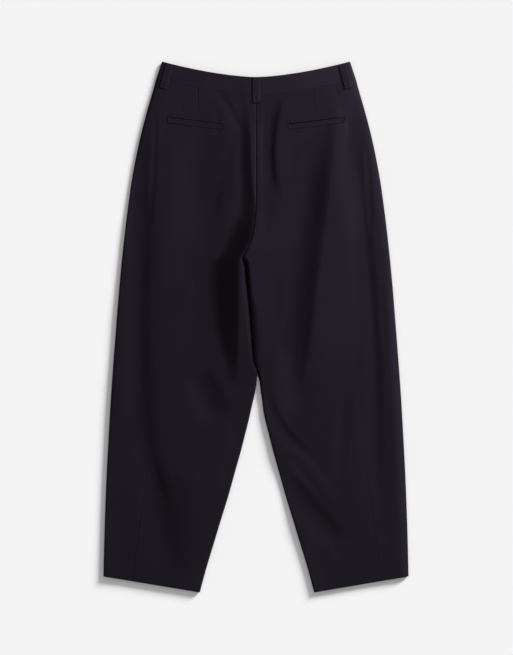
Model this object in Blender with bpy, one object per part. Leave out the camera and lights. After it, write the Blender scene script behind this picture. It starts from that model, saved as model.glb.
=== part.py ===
"""Barrel leg trousers laid flat, back upwards, with the front lying on the surface below.

Metres, +Z up. X runs across the garment, Y runs from the hems to the waist, Z = 0 is the surface
that the garment lies on, and the origin is the middle of its outline on that surface.
"""

import math
from collections import namedtuple

import bmesh
import bpy
from mathutils import Vector
from mathutils.bvhtree import BVHTree

# Whole garment
LENGTH = 1.060  # from the waistband's corners to the hems' inner corners
CLOTH = 0.0015  # wall of the suiting
BAND_WALL = 0.0020  # wall of the waistband, which is cloth folded over a stiffener
SEAM_GAP = 0.0003
LAYER_HEIGHT = 0.0060  # top of the back panels above the surface, away from folds
LOWEST_TOP = 0.0034  # the back never sinks below this, so it stays clear of the front
LAYER_ROOM = 0.0056  # most room between back and front, so a high fold lifts the front too
FRONT_LIFT_EASE = 0.024  # the front comes down to the surface over this width beside its inner edge
MID_HEIGHT = 0.0032  # height of the side seams and inseams, halfway round the folded edge

# Waistband
BAND_HEIGHT = 0.036
WAIST_HALF = 0.188  # half of the band's top edge, laid flat
WAIST_DIP = 0.031  # how far the middle of the back's top edge lies below its corners
WAIST_CURVE = 1.6  # power of the dip: 1 is a straight V and 2 a parabola
FRONT_DIP = 0.008  # how much lower the front's top edge is than the back's, at the middle
BAND_PROUD = 0.0003  # the band stands this much above the panels at its seam

# Legs
CROTCH_BELOW = 0.392  # crotch point below the waistband's corners
PARTING_BELOW = 0.628  # where the legs stop touching, below the waistband's corners
HEM_RISE = 0.032  # how much higher the hem is at the side seam than at the inseam
ROW_TILT = 0.030  # how much higher each row of the cloth's grid is at the side seam
PARTING_X = 0.001
LEG_GAP_X = 0.002  # middle of the gap between the legs, below where they part
PARTING_BLEND = 0.030  # length over which the legs' edges turn from one line into two

# Folded edges of the cloth
SIDE_ROLL = 0.0045  # width over which the back curves down to a side seam
FRONT_ROLL = 0.0032
SEAM_TILT = math.radians(30)  # how steeply the back dips into a pressed seam
FLAT_SEAM_TILT = math.radians(2)  # the same on the front, which lies flat
FULL_TILT = math.radians(90)
ROLL_STEPS = 3
CROTCH_EASE = 0.040  # length above the crotch over which a pressed seam turns into a folded edge

# Pockets and belt loops
LOOP_WIDTH = 0.015
LOOP_LENGTH = 0.050
LOOP_WALL = 0.0012
LOOP_SLACK = 0.0003  # a loop's middle stands this much further off the band than its ends
LOOP_INSET = 0.002  # below the band's top edge
SIDE_LOOP_AT = 0.917  # along half of the band, from its middle
CENTRE_LOOP_X = 0.001
WELT_LENGTH = 0.112
WELT_WIDTH = 0.010
WELT_WALL = 0.0011
WELT_OUTER_END = Vector((0.176, 0.413, 0))  # on the right; the left is its mirror image
WELT_INNER_END = Vector((0.065, 0.399, 0))

# Darts
DART_DEPTH = 0.0007
DART_HALF = 0.009  # half width of a dart's dip, as a share of the panel's width
WAIST_DART_AT = 0.42  # across the panel, from the side seam
HEM_DART_AT = 0.30
WAIST_DART_LENGTH = 0.056
HEM_DART_LENGTH = 0.258
DART_TIP = 0.35  # share of the hem dart over which it fades out

# Grid of the cloth
ROWS_TO_CROTCH = 17
ROWS_TO_HEM = 28
FRONT_ROWS_TO_CROTCH = 12
FRONT_ROWS_TO_HEM = 20
BAND_COLUMNS = 24
BAND_ROWS = (0.0, 0.5, 1.0)
LOOP_ROWS = 8
WELT_ROWS = 14
STRIP_COLUMNS = 2
SHARP_EDGE = math.radians(50)
PROBE = 0.002  # reach round a point within which a piece laid on the cloth clears it
SLOPE_STEP = 0.01  # share of a row over which the cloth's slope is taken
SMALL = 1e-6

CLOTH_COLOUR = (0.0160, 0.0116, 0.0194)  # very dark aubergine navy, linear
CLOTH_ROUGHNESS = 0.9

TOP_Y = LENGTH / 2
CROTCH_Y = TOP_Y - CROTCH_BELOW
PARTING_Y = TOP_Y - PARTING_BELOW
HEM_IN_Y = -LENGTH / 2
HEM_OUT_Y = HEM_IN_Y + HEM_RISE

# Side seam: half the garment's width at each distance below the waistband's corners
SideRow = namedtuple("SideRow", "below half_width")
SIDE_SEAM = (
    SideRow(0.000, 0.1880),
    SideRow(0.050, 0.2015),
    SideRow(0.100, 0.2165),
    SideRow(0.150, 0.2300),
    SideRow(0.200, 0.2410),
    SideRow(0.250, 0.2500),
    SideRow(0.350, 0.2630),
    SideRow(0.450, 0.2730),
    SideRow(0.550, 0.2810),
    SideRow(0.650, 0.2885),
    SideRow(0.750, 0.2945),
    SideRow(0.850, 0.2995),
    SideRow(0.950, 0.3030),
    SideRow(1.060, 0.3055),
)

# Centre back seam and, under it, centre front seam: straight, then hooking across to the crotch
SeamRow = namedtuple("SeamRow", "below x")
CENTRE_SEAM = (
    SeamRow(0.030, 0.0000),
    SeamRow(0.270, 0.0000),
    SeamRow(0.305, -0.0015),
    SeamRow(0.340, -0.0060),
    SeamRow(0.370, -0.0150),
    SeamRow(CROTCH_BELOW, -0.0270),
)

# Line on which the two legs lie against each other, from the crotch to where they part
TOUCH_LINE = (
    SeamRow(CROTCH_BELOW, -0.0270),
    SeamRow(0.412, -0.0225),
    SeamRow(0.446, -0.0192),
    SeamRow(0.476, -0.0160),
    SeamRow(0.536, -0.0110),
    SeamRow(0.596, -0.0056),
    SeamRow(PARTING_BELOW, PARTING_X),
)

# Inseams below that: half of the gap between the legs
GapRow = namedtuple("GapRow", "below half_gap")
LEG_GAP = (
    GapRow(0.000, 0.0004),
    GapRow(0.024, 0.0045),
    GapRow(0.048, 0.0100),
    GapRow(0.096, 0.0195),
    GapRow(0.144, 0.0315),
    GapRow(0.192, 0.0445),
    GapRow(0.240, 0.0575),
    GapRow(0.288, 0.0720),
    GapRow(0.336, 0.0865),
    GapRow(0.384, 0.1010),
    GapRow(0.432, 0.1140),
)

# Width over which each leg's back curves down to its inseam, by distance below the crotch. Above
# the crotch it is the width of the dip along the pressed centre seam.
RollRow = namedtuple("RollRow", "below left right")
INSEAM_ROLL = (
    RollRow(-0.020, 0.0030, 0.0030),
    RollRow(0.000, 0.0070, 0.0120),
    RollRow(0.030, 0.0075, 0.0150),
    RollRow(0.110, 0.0075, 0.0150),
    RollRow(0.180, 0.0065, 0.0100),
    RollRow(0.236, 0.0050, 0.0055),
    RollRow(0.700, 0.0045, 0.0045),
)

# Soft folds of the back, each a straight or bowed line from its upper to its lower end. bow moves
# its middle towards +X, to_left and to_right are its widths, and height is negative for a trough.
Fold = namedtuple("Fold", "side x0 y0 x1 y1 bow to_left to_right height")
LEFT, RIGHT = -1, 1
FOLDS = (
    # side hollow, the fuller middle of the leg beside it, and the same beside the hem dart
    Fold(LEFT, -0.238, 0.410, -0.240, -0.300, -0.002, 0.040, 0.040, -0.0024),
    Fold(LEFT, -0.190, 0.370, -0.194, -0.270, 0.000, 0.044, 0.070, 0.0020),
    Fold(LEFT, -0.232, -0.150, -0.176, -0.500, 0.000, 0.030, 0.034, -0.0022),
    Fold(LEFT, -0.156, -0.230, -0.100, -0.510, 0.000, 0.070, 0.060, 0.0026),
    # short crease below the inner thigh, and the fuller cloth beside the centre back seam
    Fold(LEFT, -0.110, -0.076, -0.056, -0.184, 0.002, 0.026, 0.026, -0.0027),
    Fold(LEFT, -0.046, 0.470, -0.044, 0.130, 0.000, 0.070, 0.100, 0.0022),
    # drag line beside the centre back seam, and the side hollow
    Fold(RIGHT, 0.052, 0.474, 0.050, 0.240, -0.022, 0.030, 0.012, -0.0019),
    Fold(RIGHT, 0.182, 0.480, 0.242, -0.440, 0.016, 0.045, 0.022, -0.0028),
    # slanting creases above the right hem, and a faint one at the knee
    Fold(RIGHT, 0.040, -0.270, 0.172, -0.426, -0.010, 0.021, 0.024, -0.0024),
    Fold(RIGHT, 0.056, -0.226, 0.170, -0.370, 0.003, 0.022, 0.022, 0.0010),
    Fold(RIGHT, 0.006, -0.170, 0.112, -0.266, 0.000, 0.016, 0.016, -0.0014),
    Fold(RIGHT, 0.180, -0.130, 0.164, -0.320, 0.000, 0.020, 0.020, -0.0010),
)
# Long slanting fold down the right leg, which rises slowly to a narrow crest
RIDGES = (
    Fold(RIGHT, 0.172, 0.470, 0.076, -0.200, 0.002, 0.056, 0.150, 0.0084),
)
CREST_ROUND = 0.10  # share of a ridge's width over which its crest is rounded

# The backs rise towards the centre back seam. The left one rises between x = start and x = end,
# and the right one falls away from the seam over a width of its own.
RiseRow = namedtuple("RiseRow", "below start end left right")
SEAM_RISE = (
    RiseRow(0.060, -0.036, -0.020, 0.0000, 0.0000),
    RiseRow(0.116, -0.032, -0.014, 0.0020, 0.0016),
    RiseRow(0.146, -0.032, -0.012, 0.0038, 0.0030),
    RiseRow(0.196, -0.033, -0.010, 0.0046, 0.0038),
    RiseRow(0.246, -0.031, -0.006, 0.0048, 0.0044),
    RiseRow(0.296, -0.034, 0.000, 0.0058, 0.0056),
    RiseRow(0.326, -0.052, -0.002, 0.0070, 0.0066),
    RiseRow(0.356, -0.074, -0.008, 0.0088, 0.0080),
    RiseRow(0.376, -0.082, -0.019, 0.0098, 0.0084),
    RiseRow(0.400, -0.110, -0.030, 0.0104, 0.0082),
    RiseRow(0.446, -0.114, -0.032, 0.0104, 0.0060),
    RiseRow(0.476, -0.112, -0.032, 0.0104, 0.0052),
    RiseRow(0.536, -0.104, -0.033, 0.0092, 0.0034),
    RiseRow(0.566, -0.100, -0.034, 0.0076, 0.0024),
    RiseRow(0.596, -0.092, -0.034, 0.0052, 0.0014),
    RiseRow(0.626, -0.088, -0.034, 0.0028, 0.0004),
    RiseRow(0.656, -0.088, -0.034, 0.0000, 0.0000),
)
RIGHT_RISE_WIDTH = 0.110
FOLD_FADE = 0.30  # share of a fold's length over which it fades in, and out again
SIDE_PUFF = 0.0008  # the cloth stands a little fuller just inside its folded side
PUFF_AT = 0.012
PUFF_REACH = 0.030

# Columns of each grid, as shares of the width between the folded edges
BACK_COLUMNS = (
    0.00, 0.07, 0.14, 0.22,
    HEM_DART_AT - DART_HALF, HEM_DART_AT, HEM_DART_AT + DART_HALF, 0.38,
    WAIST_DART_AT - DART_HALF, WAIST_DART_AT, WAIST_DART_AT + DART_HALF,
    0.50, 0.56, 0.62, 0.67, 0.72, 0.77, 0.82, 0.865, 0.90, 0.935, 0.968, 1.00,
)
FRONT_COLUMNS = (0.0, 0.14, 0.28, 0.42, 0.54, 0.65, 0.74, 0.82, 0.89, 0.95, 1.0)


def curve_through(rows, value):
    """A smooth function of a table's first column that passes through all of its rows."""
    xs = [row.below for row in rows]
    ys = [getattr(row, value) for row in rows]
    chords = [(ys[i + 1] - ys[i]) / (xs[i + 1] - xs[i]) for i in range(len(xs) - 1)]
    inner = [
        0.0 if a * b <= 0 else 2 * a * b / (a + b)
        for a, b in zip(chords, chords[1:])
    ]
    slopes = [chords[0], *inner, chords[-1]]

    def curve(x):
        x = min(max(x, xs[0]), xs[-1])
        i = max(k for k in range(len(xs) - 1) if xs[k] <= x)
        width = xs[i + 1] - xs[i]
        t = (x - xs[i]) / width
        start = (1 + 2 * t) * (1 - t) ** 2 * ys[i] + t * (1 - t) ** 2 * width * slopes[i]
        end = t * t * (3 - 2 * t) * ys[i + 1] - t * t * (1 - t) * width * slopes[i + 1]
        return start + end

    return curve


side_half_width = curve_through(SIDE_SEAM, "half_width")
centre_seam_x = curve_through(CENTRE_SEAM, "x")
touch_line_x = curve_through(TOUCH_LINE, "x")
half_leg_gap = curve_through(LEG_GAP, "half_gap")
rise_start, rise_end, rise_left, rise_right = (
    curve_through(SEAM_RISE, value) for value in ("start", "end", "left", "right")
)
inseam_roll = {
    LEFT: curve_through(INSEAM_ROLL, "left"),
    RIGHT: curve_through(INSEAM_ROLL, "right"),
}


def lerp(a, b, t):
    return a + (b - a) * t


def ease(t):
    """From 0 to 1 with a level start and end."""
    t = min(max(t, 0.0), 1.0)
    return t * t * (3 - 2 * t)


# Outline of the garment, seen from above


def band_top(across, lower=0.0):
    """Point on the waistband's top edge. across runs from -1 at the left corner to 1 at the right."""
    dip = (WAIST_DIP + lower) * (1 - abs(across) ** WAIST_CURVE)
    return Vector((across * WAIST_HALF, TOP_Y - dip, 0))


def band_seam(across, lower=0.0):
    """Point on the seam below it, a band's height away at right angles to the top edge."""
    share = max(abs(across), SMALL)
    slope = (WAIST_DIP + lower) * WAIST_CURVE * share ** (WAIST_CURVE - 1) / WAIST_HALF
    lean = math.atan(slope) * math.copysign(1, across)
    return band_top(across, lower) + BAND_HEIGHT * Vector((math.sin(lean), -math.cos(lean), 0))


def side_point(side, down):
    """Point on a side seam. down is 0 at the waist seam, 1 about level with the crotch and 2 at the hem."""
    start_y = band_seam(side).y - SEAM_GAP
    if down <= 1:
        y = lerp(start_y, CROTCH_Y + ROW_TILT, down)
    else:
        y = lerp(CROTCH_Y + ROW_TILT, HEM_OUT_Y, down - 1)
    return Vector((side * side_half_width(TOP_Y - y), y, 0))


def inner_point(side, down, lower=0.0):
    """Point on a leg's inner edge: the centre seam down to the crotch, and the inseam below it."""
    if down <= 1:
        y = lerp(band_seam(0.0, lower).y - SEAM_GAP, CROTCH_Y, down)
        x = centre_seam_x(TOP_Y - y)
    else:
        y = lerp(CROTCH_Y, HEM_IN_Y, down - 1)
        x = touch_line_x(TOP_Y - y)
        if y < PARTING_Y:
            x = LEG_GAP_X + side * half_leg_gap(PARTING_Y - y)
            x = lerp(PARTING_X, x, ease((PARTING_Y - y) / PARTING_BLEND))
    return Vector((x + side * SEAM_GAP / 2, y, 0))


def plan(side, across, down, lower=0.0):
    """Point of a leg's grid seen from above. across is 0 at the side seam and 1 at the inner edge."""
    outer, inner = side_point(side, down), inner_point(side, down, lower)
    point = outer.lerp(inner, across)
    if down < 1:
        seam = band_seam(side * (1 - across), lower)
        straight = band_seam(side).lerp(band_seam(0.0, lower), across)
        point += (seam - straight) * (1 - down) ** 2
    return point


# Height of the cloth


def soft_section(off):
    """Height of a fold at a share of its width from its line, rounded above and below."""
    return math.cos(math.pi / 2 * off) ** 2


def crest_section(off):
    """The same for a ridge with a narrow crest."""
    rounded = math.hypot(off, CREST_ROUND) - CREST_ROUND
    return (1 - rounded / (math.hypot(1, CREST_ROUND) - CREST_ROUND)) ** 2


def fold_height(side, point, folds, section):
    """What some folds add to the back's height at a point."""
    total = 0.0
    for fold in folds:
        if fold.side != side:
            continue
        start, end = Vector((fold.x0, fold.y0, 0)), Vector((fold.x1, fold.y1, 0))
        line = end - start
        along = (point - start).dot(line) / line.length_squared
        if not 0 < along < 1:
            continue
        sideways = Vector((-line.y, line.x, 0)).normalized()
        off = (point - start).dot(sideways) - fold.bow * 4 * along * (1 - along)
        off /= fold.to_left if off < 0 else fold.to_right
        if abs(off) >= 1:
            continue
        ends = ease(along / FOLD_FADE) * ease((1 - along) / FOLD_FADE)
        total += fold.height * ends * section(off)
    return total


def seam_rise(side, point):
    """How far the back rises at a point towards the centre back seam."""
    below = TOP_Y - point.y
    if side == RIGHT:
        off = min(max((point.x - centre_seam_x(below)) / RIGHT_RISE_WIDTH, 0.0), 1.0)
        return rise_right(below) * crest_section(off)
    start, end = rise_start(below), rise_end(below)
    share = min(max((point.x - start) / (end - start), 0.0), 1.0)
    return rise_left(below) * lerp(ease(share), share**2, 0.5)


def relief(side, point):
    """What the folds and the rise to the centre seam add to the back's height at a point."""
    folds = fold_height(side, point, FOLDS, soft_section)
    return folds + fold_height(side, point, RIDGES, crest_section) + seam_rise(side, point)


def dart_dip(across, down):
    """How far the back dips along its two darts."""
    dip = 0.0
    waist_reach = WAIST_DART_LENGTH / (band_seam(0.0).y - CROTCH_Y)
    hem_reach = HEM_DART_LENGTH / (CROTCH_Y - HEM_IN_Y)
    if down < waist_reach:
        dip += max(0.0, 1 - abs(across - WAIST_DART_AT) / DART_HALF)
    if down > 2 - hem_reach:
        tip = ease((down - 2 + hem_reach) / (DART_TIP * hem_reach))
        dip += tip * max(0.0, 1 - abs(across - HEM_DART_AT) / DART_HALF)
    return dip * DART_DEPTH


def seam_tilt_at(point, seam_tilt):
    """How steeply the cloth turns at its inner edge: into a pressed seam, or round a whole fold."""
    return lerp(FULL_TILT, seam_tilt, ease((point.y - CROTCH_Y) / CROTCH_EASE))


Spot = namedtuple("Spot", "point normal")

# A column of a leg's grid. edge is -1 on the folded side, 1 on the inner edge and 0 between them.
Column = namedtuple("Column", "across edge roll tilt full_tilt")


def roll_steps(width, tilt):
    """(distance from the edge, tilt there) for the columns of a folded edge, from the edge inwards."""
    angles = [tilt * (ROLL_STEPS - k) / ROLL_STEPS for k in range(ROLL_STEPS + 1)]
    return [(width * (1 - math.sin(a) / math.sin(tilt)), a) for a in angles]


def row_width(side, down, lower=0.0):
    return (side_point(side, down) - inner_point(side, down, lower)).length


def row_columns(side, down, side_roll, inner_roll, seam_tilt, shares, lower=0.0):
    """Columns of one row, from the side seam to the inner edge."""
    width = row_width(side, down, lower)
    full = seam_tilt_at(inner_point(side, down, lower), seam_tilt)
    side_steps = roll_steps(side_roll, FULL_TILT)
    inner_steps = roll_steps(inner_roll, full)
    start, end = side_roll / width, 1 - inner_roll / width
    found = [Column(d / width, -1, side_roll, tilt, FULL_TILT) for d, tilt in side_steps]
    found += [Column(lerp(start, end, share), 0, 0.0, 0.0, FULL_TILT) for share in shares[1:-1]]
    found += [Column(1 - d / width, 1, inner_roll, tilt, full) for d, tilt in reversed(inner_steps)]
    return found


def folded_edge(point, level, facing, side, down, column):
    """A point on an edge that turns through a quarter of an ellipse to mid height, and its normal.

    level is the cloth's height inside the edge. facing is 1 for the back and -1 for the front.
    """
    height = (level - MID_HEIGHT) * facing - SEAM_GAP / 2
    point.z = level - facing * height * (1 - math.cos(column.tilt))
    outwards = (inner_point(side, down) - side_point(side, down)).normalized() * column.edge
    normal = outwards * math.sin(column.tilt) * math.sin(column.full_tilt) / column.roll
    normal.z = facing * math.cos(column.tilt) / height
    return Spot(point, normal.normalized())


def back_top(side, across, down):
    """Height of the back's upper surface before its edges turn down and its darts dip."""
    from_side = across * row_width(side, down)
    puff = SIDE_PUFF * max(0.0, 1 - ((from_side - PUFF_AT) / PUFF_REACH) ** 2)
    top = LAYER_HEIGHT + puff + relief(side, plan(side, across, down))
    return max(top, LOWEST_TOP)


def back_spot(side, down, column):
    """Upper point of the back."""
    point = plan(side, column.across, down)
    top = back_top(side, column.across, down)
    if column.edge:
        return folded_edge(point, top, 1, side, down, column)
    point.z = max(top - dart_dip(column.across, down), LOWEST_TOP)
    before, after = column.across - SLOPE_STEP, column.across + SLOPE_STEP
    rise = back_top(side, after, down) - back_top(side, before, down)
    run = plan(side, after, down).x - plan(side, before, down).x
    return Spot(point, Vector((-rise / run, 0, 1)).normalized())


def back_top_turned(side, across, down):
    """Height of the back's upper surface with its inner edge turned down."""
    top = back_top(side, across, down)
    inner = inner_point(side, down)
    roll = inseam_roll[side](CROTCH_Y - inner.y)
    from_edge = (1 - across) * row_width(side, down)
    if from_edge >= roll:
        return top
    full = seam_tilt_at(inner, SEAM_TILT)
    tilt = math.asin((1 - from_edge / roll) * math.sin(full))
    return top - (top - MID_HEIGHT) * (1 - math.cos(tilt))


def front_spot(side, down, column):
    """Lower point of the front, which lies on the surface but where a high fold lifts it."""
    point = plan(side, column.across, down, FRONT_DIP)
    lifted = back_top_turned(side, column.across, down) - 2 * CLOTH - LAYER_ROOM
    from_inner = (1 - column.across) * row_width(side, down, FRONT_DIP)
    point.z = max(0.0, lifted) * ease((from_inner - FRONT_ROLL) / FRONT_LIFT_EASE)
    if column.edge:
        return folded_edge(point, point.z, -1, side, down, column)
    return Spot(point, Vector((0, 0, -1)))


def row_places(to_crotch, to_hem):
    """down for each row of a leg's grid, with one row exactly at the crotch."""
    above = [k / to_crotch for k in range(to_crotch)]
    return above + [1 + k / to_hem for k in range(to_hem + 1)]


# Solids


def material(name):
    made = bpy.data.materials.new(name)
    made.use_nodes = True
    shader = made.node_tree.nodes["Principled BSDF"]
    shader.inputs["Base Color"].default_value = (*CLOTH_COLOUR, 1)
    shader.inputs["Roughness"].default_value = CLOTH_ROUGHNESS
    shader.inputs["Metallic"].default_value = 0.0
    made.diffuse_color = (*CLOTH_COLOUR, 1)
    return made


def wall(name, outer, inner):
    """One closed solid between two grids of points, outer being the side of the cloth that shows."""
    bm = bmesh.new()
    skins = [[[bm.verts.new(point) for point in row] for row in grid] for grid in (outer, inner)]
    rows, columns = len(outer), len(outer[0])
    for skin in skins:
        for j in range(rows - 1):
            for i in range(columns - 1):
                bm.faces.new((skin[j][i], skin[j][i + 1], skin[j + 1][i + 1], skin[j + 1][i]))
    rim = [(0, i) for i in range(columns)]
    rim += [(j, columns - 1) for j in range(1, rows)]
    rim += [(rows - 1, i) for i in reversed(range(columns - 1))]
    rim += [(j, 0) for j in reversed(range(1, rows - 1))]
    for (j, i), (next_j, next_i) in zip(rim, rim[1:] + rim[:1]):
        quad = (skins[0][j][i], skins[0][next_j][next_i], skins[1][next_j][next_i], skins[1][j][i])
        bm.faces.new(quad)
    bmesh.ops.recalc_face_normals(bm, faces=bm.faces)
    mesh = bpy.data.meshes.new(name)
    bm.to_mesh(mesh)
    bm.free()
    mesh.shade_smooth()
    mesh.set_sharp_from_angle(angle=SHARP_EDGE)
    mesh.materials.append(material(name))
    made = bpy.data.objects.new(name, mesh)
    bpy.context.scene.collection.objects.link(made)
    return made


def cloth(name, rows):
    """A panel's wall from rows of spots."""
    outer = [[spot.point for spot in row] for row in rows]
    inner = [[spot.point - spot.normal * CLOTH for spot in row] for row in rows]
    return wall(name, outer, inner)


def back_panel(side):
    rows = []
    for down in row_places(ROWS_TO_CROTCH, ROWS_TO_HEM):
        inner_roll = inseam_roll[side](CROTCH_Y - inner_point(side, down).y)
        columns = row_columns(side, down, SIDE_ROLL, inner_roll, SEAM_TILT, BACK_COLUMNS)
        rows.append([back_spot(side, down, column) for column in columns])
    return cloth("back_left" if side == LEFT else "back_right", rows)


def front_panel(side):
    rows = []
    for down in row_places(FRONT_ROWS_TO_CROTCH, FRONT_ROWS_TO_HEM):
        columns = row_columns(
            side, down, FRONT_ROLL, FRONT_ROLL, FLAT_SEAM_TILT, FRONT_COLUMNS, FRONT_DIP
        )
        rows.append([front_spot(side, down, column) for column in columns])
    return cloth("front_left" if side == LEFT else "front_right", rows)


# Waistband


def band_wall(name, acrosses, lower, facing):
    """A band with columns at (across, tilt). facing is 1 for the back and -1 for the front."""
    top = LAYER_HEIGHT + BAND_PROUD if facing > 0 else 0.0
    height = (top - MID_HEIGHT) * facing - SEAM_GAP / 2
    outer, inner = [], []
    for share in BAND_ROWS:
        outer_row, inner_row = [], []
        for across, tilt in acrosses:
            point = band_top(across, lower).lerp(band_seam(across, lower), share)
            point.z = top - facing * height * (1 - math.cos(tilt))
            normal = Vector((math.copysign(math.sin(tilt) / SIDE_ROLL, across), 0, 0))
            normal.z = facing * math.cos(tilt) / height
            outer_row.append(point)
            inner_row.append(point - normal.normalized() * BAND_WALL)
        outer.append(outer_row)
        inner.append(inner_row)
    return wall(name, outer, inner)


def rolled_ends():
    """(across, tilt) for the columns of a band's folded right end, from the flat to the end."""
    return [(1 - d / WAIST_HALF, a) for d, a in reversed(roll_steps(SIDE_ROLL, FULL_TILT))]


def back_band():
    right = rolled_ends()
    flat_end = right[0][0]
    middle = [(lerp(-flat_end, flat_end, k / BAND_COLUMNS), 0.0) for k in range(1, BAND_COLUMNS)]
    left = [(-across, tilt) for across, tilt in reversed(right)]
    return band_wall("waistband_back", left + middle + right, 0.0, 1)


def front_band(side):
    """Half of the front's band. The halves meet on the centre front, where the garment opens."""
    right = rolled_ends()
    count = BAND_COLUMNS // 3
    start = SEAM_GAP / 2 / WAIST_HALF
    flat = [(lerp(start, right[0][0], k / count), 0.0) for k in range(count)]
    acrosses = [(across * side, tilt) for across, tilt in flat + right]
    name = "waistband_front_left" if side == LEFT else "waistband_front_right"
    return band_wall(name, acrosses, FRONT_DIP, -1)


# Pieces that lie on the back


def top_finder(carriers):
    """A function that gives the highest point of the carriers near a place seen from above."""
    bpy.context.view_layer.update()
    graph = bpy.context.evaluated_depsgraph_get()
    trees = [BVHTree.FromObject(carrier, graph) for carrier in carriers]
    above = 0.1

    def top(x, y):
        highest = 0.0
        for dx, dy in ((0, 0), (PROBE, 0), (-PROBE, 0), (0, PROBE), (0, -PROBE)):
            for tree in trees:
                hit = tree.ray_cast(Vector((x + dx, y + dy, above)), Vector((0, 0, -1)))[0]
                highest = max(highest, hit.z if hit else 0.0)
        return highest

    return top


def strip(name, start, end, width, thickness, slack, top, rows):
    """A flat strip from start to end, lying on the cloth below. slack lifts its middle off the cloth."""
    line = end - start
    sideways = Vector((-line.y, line.x, 0)).normalized() * width
    outer, inner = [], []
    for j in range(rows + 1):
        centre = start + line * j / rows
        lift = SEAM_GAP + slack * math.sin(math.pi * j / rows)
        places = [centre + sideways * (i / STRIP_COLUMNS - 0.5) for i in range(STRIP_COLUMNS + 1)]
        heights = [top(place.x, place.y) + lift for place in places]
        inner.append([Vector((p.x, p.y, z)) for p, z in zip(places, heights)])
        outer.append([Vector((p.x, p.y, z + thickness)) for p, z in zip(places, heights)])
    return wall(name, outer, inner)


def belt_loop(name, start, towards, top):
    end = start + (towards - start).normalized() * LOOP_LENGTH
    return strip(name, start, end, LOOP_WIDTH, LOOP_WALL, LOOP_SLACK, top, LOOP_ROWS)


def belt_loops(top):
    inset = Vector((0, -LOOP_INSET, 0))
    centre = Vector((CENTRE_LOOP_X, band_top(0.0).y, 0)) + inset
    belt_loop("belt_loop_centre", centre, centre + inset, top)
    for side, name in ((LEFT, "belt_loop_left"), (RIGHT, "belt_loop_right")):
        across = side * SIDE_LOOP_AT
        belt_loop(name, band_top(across) + inset, band_seam(across), top)


def pocket_welts(top):
    """Welt of each back pocket, sloping down towards the centre seam."""
    for side, name in ((LEFT, "pocket_welt_left"), (RIGHT, "pocket_welt_right")):
        start = Vector((side * WELT_OUTER_END.x, WELT_OUTER_END.y, 0))
        line = Vector((side * WELT_INNER_END.x, WELT_INNER_END.y, 0)) - start
        end = start + line.normalized() * WELT_LENGTH
        strip(name, start, end, WELT_WIDTH, WELT_WALL, 0.0, top, WELT_ROWS)


def main():
    for old in list(bpy.data.objects):
        bpy.data.objects.remove(old)
    backs = [back_panel(LEFT), back_panel(RIGHT), back_band()]
    for side in (LEFT, RIGHT):
        front_panel(side)
        front_band(side)
    top = top_finder(backs)
    belt_loops(top)
    pocket_welts(top)


main()
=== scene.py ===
import math

import bmesh
import bpy
import numpy as np
from mathutils import Matrix, Vector
from mathutils.bvhtree import BVHTree


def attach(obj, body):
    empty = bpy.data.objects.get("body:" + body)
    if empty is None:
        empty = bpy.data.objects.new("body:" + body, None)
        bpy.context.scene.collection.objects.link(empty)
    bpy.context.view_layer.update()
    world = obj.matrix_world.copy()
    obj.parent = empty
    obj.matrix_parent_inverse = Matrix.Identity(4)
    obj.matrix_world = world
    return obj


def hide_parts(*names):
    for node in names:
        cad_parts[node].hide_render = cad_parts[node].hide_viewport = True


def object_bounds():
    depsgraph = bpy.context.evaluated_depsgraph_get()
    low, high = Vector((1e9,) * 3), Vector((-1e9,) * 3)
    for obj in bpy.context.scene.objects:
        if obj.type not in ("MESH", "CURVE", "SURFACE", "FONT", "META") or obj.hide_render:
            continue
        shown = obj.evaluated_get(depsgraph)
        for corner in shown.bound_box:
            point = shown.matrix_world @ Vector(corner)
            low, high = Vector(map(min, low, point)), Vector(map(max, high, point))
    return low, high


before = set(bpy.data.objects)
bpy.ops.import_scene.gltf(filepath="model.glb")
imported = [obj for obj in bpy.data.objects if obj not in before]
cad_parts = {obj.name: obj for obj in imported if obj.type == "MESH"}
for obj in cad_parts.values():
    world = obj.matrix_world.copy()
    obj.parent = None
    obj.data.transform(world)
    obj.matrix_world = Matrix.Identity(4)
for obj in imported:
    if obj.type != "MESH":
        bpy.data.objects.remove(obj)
cadLow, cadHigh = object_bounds()
print("frame loaded, nodes:", len(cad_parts))

left, right = -1, 1  # as seen from above with the waist at the top


# Helpers: curves through a table's rows, easing and mixing, all on numpy arrays

def smoothCurve(rows, column=1):
    xs = np.array([row[0] for row in rows])
    ys = np.array([row[column] for row in rows])
    chords = np.diff(ys) / np.diff(xs)
    before, after = chords[:-1], chords[1:]
    total = np.where(before * after > 0, before + after, 1)
    inner = np.where(before * after > 0, 2 * before * after / total, 0)
    slopes = np.concatenate((chords[:1], inner, chords[-1:]))

    def curve(x):
        x = np.clip(x, xs[0], xs[-1])
        i = np.clip(np.searchsorted(xs, x, side="right") - 1, 0, len(xs) - 2)
        width = xs[i + 1] - xs[i]
        t = (x - xs[i]) / width
        start = (1 + 2 * t) * (1 - t) ** 2 * ys[i] + t * (1 - t) ** 2 * width * slopes[i]
        end = t * t * (3 - 2 * t) * ys[i + 1] - t * t * (1 - t) * width * slopes[i + 1]
        return start + end

    return curve


def ease(t):
    t = np.clip(t, 0, 1)
    return t * t * (3 - 2 * t)


def mix(a, b, t):
    return a + (b - a) * t


# The cut, laid flat

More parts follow.
